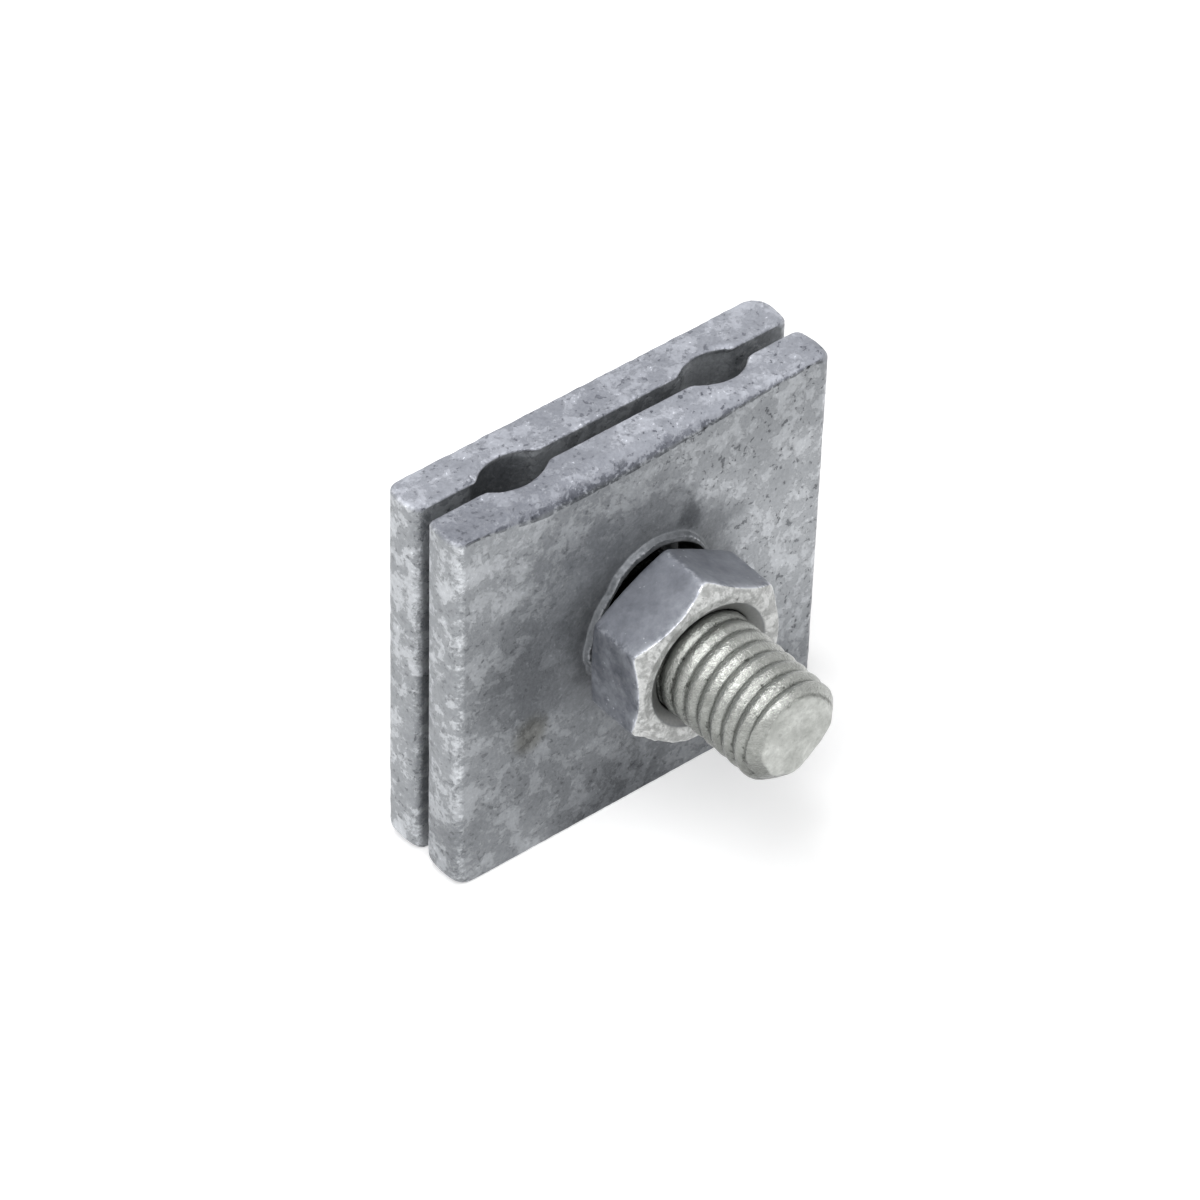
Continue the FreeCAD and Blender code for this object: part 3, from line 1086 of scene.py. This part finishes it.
def nut_material():
    """Smooth blue-grey flats, with lumpy whitish zinc on the front, a painted highlight along its arches,
    and painted light on the upper flats beside them and on the shaded left flat.
    """
    s = Shader("nut_zinc")
    front = s.mask("front")
    bore = s.mask("bore")
    cloud = s.noise(3.0, 4, 0.58, 0.1, (33, 2, 14))
    flake = s.noise(1.3, 8, 0.68, 0.3, (12, 26, 4))
    grain = s.noise(0.5, 6, 0.66, 0.0, (8, 3, 27))
    dots = s.noise(0.55, 2, 0.5, 0.0, (21, 6, 52))
    pits = s.noise(0.9, 6, 0.62, 0.3, (61, 7, 9))
    # Painted light: the upper flats glow beside the arches.
    painted_glow = s.both(s.mask("painted_glow"), s.between(s.z, axis_z + 1.0, axis_z + 5.0))
    # Painted light on the shaded left flat: this mottle also lifts it by about 6 levels on average.
    left_flat = s.between(s.math("SUBTRACT", axis_x, s.x), 8.2, 9.4)
    left_flat_lift_and_mottle = s.both(left_flat, s.plus(s.plus(flake, cloud), 0.4))
    level = s.add(nut_flat_level, (cloud, 11), (flake, 8), (grain, 5), (painted_glow, 34), (left_flat_lift_and_mottle, 16))
    dotted = s.between(s.add(dots, (cloud, 0.5)), 1.12, 1.30)
    level = s.toward(level, nut_dot_level, dotted)
    pale = s.between(flake, -0.3, 0.4)
    crumbly = s.add(nut_front_level, (pale, 42), (grain, 18), (s.between(pits, 0.65, 0.95), -64))
    level = s.toward(level, crumbly, front)
    worn = s.both(s.mask("corner"), s.between(s.plus(grain, flake), -0.2, 0.8))
    level = s.toward(level, nut_corner_level, s.both(worn, 0.7))
    # Painted highlight: a white line along the arches.
    line = s.both(s.mask("arch"), s.between(s.plus(grain, cloud), -0.9, 0.3))
    level = s.toward(level, nut_arch_highlight_level, line)
    level = s.toward(level, s.add(nut_bore_level, (grain, 8)), bore)
    warm = s.math("MAXIMUM", front, bore)
    colour = s.colour(level, s.both(warm, 2.0), s.add(4.0, (warm, -9.0)))
    matt = s.add(0.38, (front, 0.16))
    height = s.both(s.plus(grain, flake), s.add(0.05, (front, 0.30)))
    return s.finish(colour, 0.5, matt, height, 0.07)


# Stage, light and camera

floor_half_width = 2.0
floor_grey = 0.8
floor_roughness = 0.9
floor_lift = 0.45
world_light = 0.38

# Lamps: name, azimuth and elevation in degrees, distance and size in metres, power in watts
lamps = (
    ("key", -60, 62, 0.55, 0.35, 1.8),
    ("fill", 15, 35, 0.7, 0.5, 0.6),
    ("top", -150, 76, 0.6, 0.09, 0.6),
)


def make_floor():
    """A pale floor that is white to the camera where it is lit and keeps the soft shadow."""
    mesh = bpy.data.meshes.new("floor")
    half = floor_half_width
    corners = [(-half, -half, 0), (half, -half, 0), (half, half, 0), (-half, half, 0)]
    mesh.from_pydata(corners, [], [(0, 1, 2, 3)])
    floor = bpy.data.objects.new("floor", mesh)
    bpy.context.scene.collection.objects.link(floor)
    material = bpy.data.materials.new("floor_white")
    material.use_nodes = True
    tree = material.node_tree
    surface = tree.nodes["Principled BSDF"]
    surface.inputs["Base Color"].default_value = (floor_grey, floor_grey, floor_grey, 1)
    surface.inputs["Roughness"].default_value = floor_roughness
    surface.inputs["Emission Color"].default_value = (1, 1, 1, 1)
    lift = tree.nodes.new("ShaderNodeMath")
    lift.operation = "MULTIPLY"
    lift.inputs[1].default_value = floor_lift
    tree.links.new(seen_directly(tree), lift.inputs[0])
    tree.links.new(lift.outputs[0], surface.inputs["Emission Strength"])
    mesh.materials.append(material)


def seen_directly(tree):
    """1 for camera, glossy and transmission rays, 0 for the rays that light the object."""
    path = tree.nodes.new("ShaderNodeLightPath")
    total = path.outputs["Is Camera Ray"]
    for name in ("Is Glossy Ray", "Is Transmission Ray"):
        most = tree.nodes.new("ShaderNodeMath")
        most.operation = "MAXIMUM"
        tree.links.new(total, most.inputs[0])
        tree.links.new(path.outputs[name], most.inputs[1])
        total = most.outputs[0]
    return total


def make_world():
    """Soft even light on the object, and white where the background is seen."""
    world = bpy.data.worlds.new("studio")
    bpy.context.scene.world = world
    world.use_nodes = True
    tree = world.node_tree
    background = tree.nodes["Background"]
    background.inputs["Color"].default_value = (1, 1, 1, 1)
    background.inputs["Strength"].default_value = world_light
    white = tree.nodes.new("ShaderNodeBackground")
    white.inputs["Strength"].default_value = 1.0
    choose = tree.nodes.new("ShaderNodeMixShader")
    tree.links.new(seen_directly(tree), choose.inputs[0])
    tree.links.new(background.outputs[0], choose.inputs[1])
    tree.links.new(white.outputs[0], choose.inputs[2])
    tree.links.new(choose.outputs[0], tree.nodes["World Output"].inputs["Surface"])


def direction_from(azimuth, elevation):
    """Direction towards a place seen from the clamp. Degrees, with azimuth 0 in front at -Y."""
    a, e = math.radians(azimuth), math.radians(elevation)
    return Vector((math.sin(a) * math.cos(e), -math.cos(a) * math.cos(e), math.sin(e)))


def make_lamp(name, azimuth, elevation, distance, size, power):
    """A square soft lamp that looks at the clamp's middle."""
    target = Vector((0, 0, plate_height / 2 * MM))
    lamp = bpy.data.lights.new(name, "AREA")
    lamp.size = size
    lamp.energy = power
    place = bpy.data.objects.new(name, lamp)
    bpy.context.scene.collection.objects.link(place)
    direction = direction_from(azimuth, elevation)
    place.location = target + direction * distance
    place.rotation_euler = direction.to_track_quat("Z", "Y").to_euler()


def make_camera():
    """A long lens looking down at the plates' left end and front face."""
    azimuth, elevation, roll = -40.43, 42.29, 1.74
    distance = 900 * MM
    pixels_per_mm = 9.422
    image_width = 1200
    plate_pair_centre_pixel = (605.4, 593.0)
    camera = bpy.data.cameras.new("camera")
    camera.sensor_width = 36
    camera.lens = camera.sensor_width * pixels_per_mm * distance / MM / image_width
    camera.clip_start, camera.clip_end = 0.01, 20
    place = bpy.data.objects.new("camera", camera)
    bpy.context.scene.collection.objects.link(place)
    back = direction_from(azimuth, elevation)
    right = (-back).cross(Vector((0, 0, 1))).normalized()
    up = right.cross(-back)
    turn = math.radians(roll)
    right, up = right * math.cos(turn) + up * math.sin(turn), up * math.cos(turn) - right * math.sin(turn)
    centre = Vector((0, (front_inner + back_inner) / 2, plate_height / 2)) * MM
    across = (plate_pair_centre_pixel[0] - image_width / 2) / pixels_per_mm * MM
    above = (image_width / 2 - plate_pair_centre_pixel[1]) / pixels_per_mm * MM
    turned = Matrix((right, up, back)).transposed().to_4x4()
    turned.translation = centre + back * distance - right * across - up * above
    place.matrix_world = turned
    bpy.context.scene.camera = place


def dress():
    """The four pieces, each with its zinc."""
    front = make_front_plate()
    back = make_back_plate()
    bolt = make_bolt()
    nut = make_nut()
    front.data.materials.append(plate_material("front_plate_zinc", True))
    back.data.materials.append(plate_material("back_plate_zinc", False))
    bolt.data.materials.append(bolt_material())
    nut.data.materials.append(nut_material())


dress()
make_floor()
make_world()
for lamp in lamps:
    make_lamp(*lamp)
bpy.context.scene.view_settings.view_transform = "Standard"
make_camera()

bpy.context.view_layer.update()
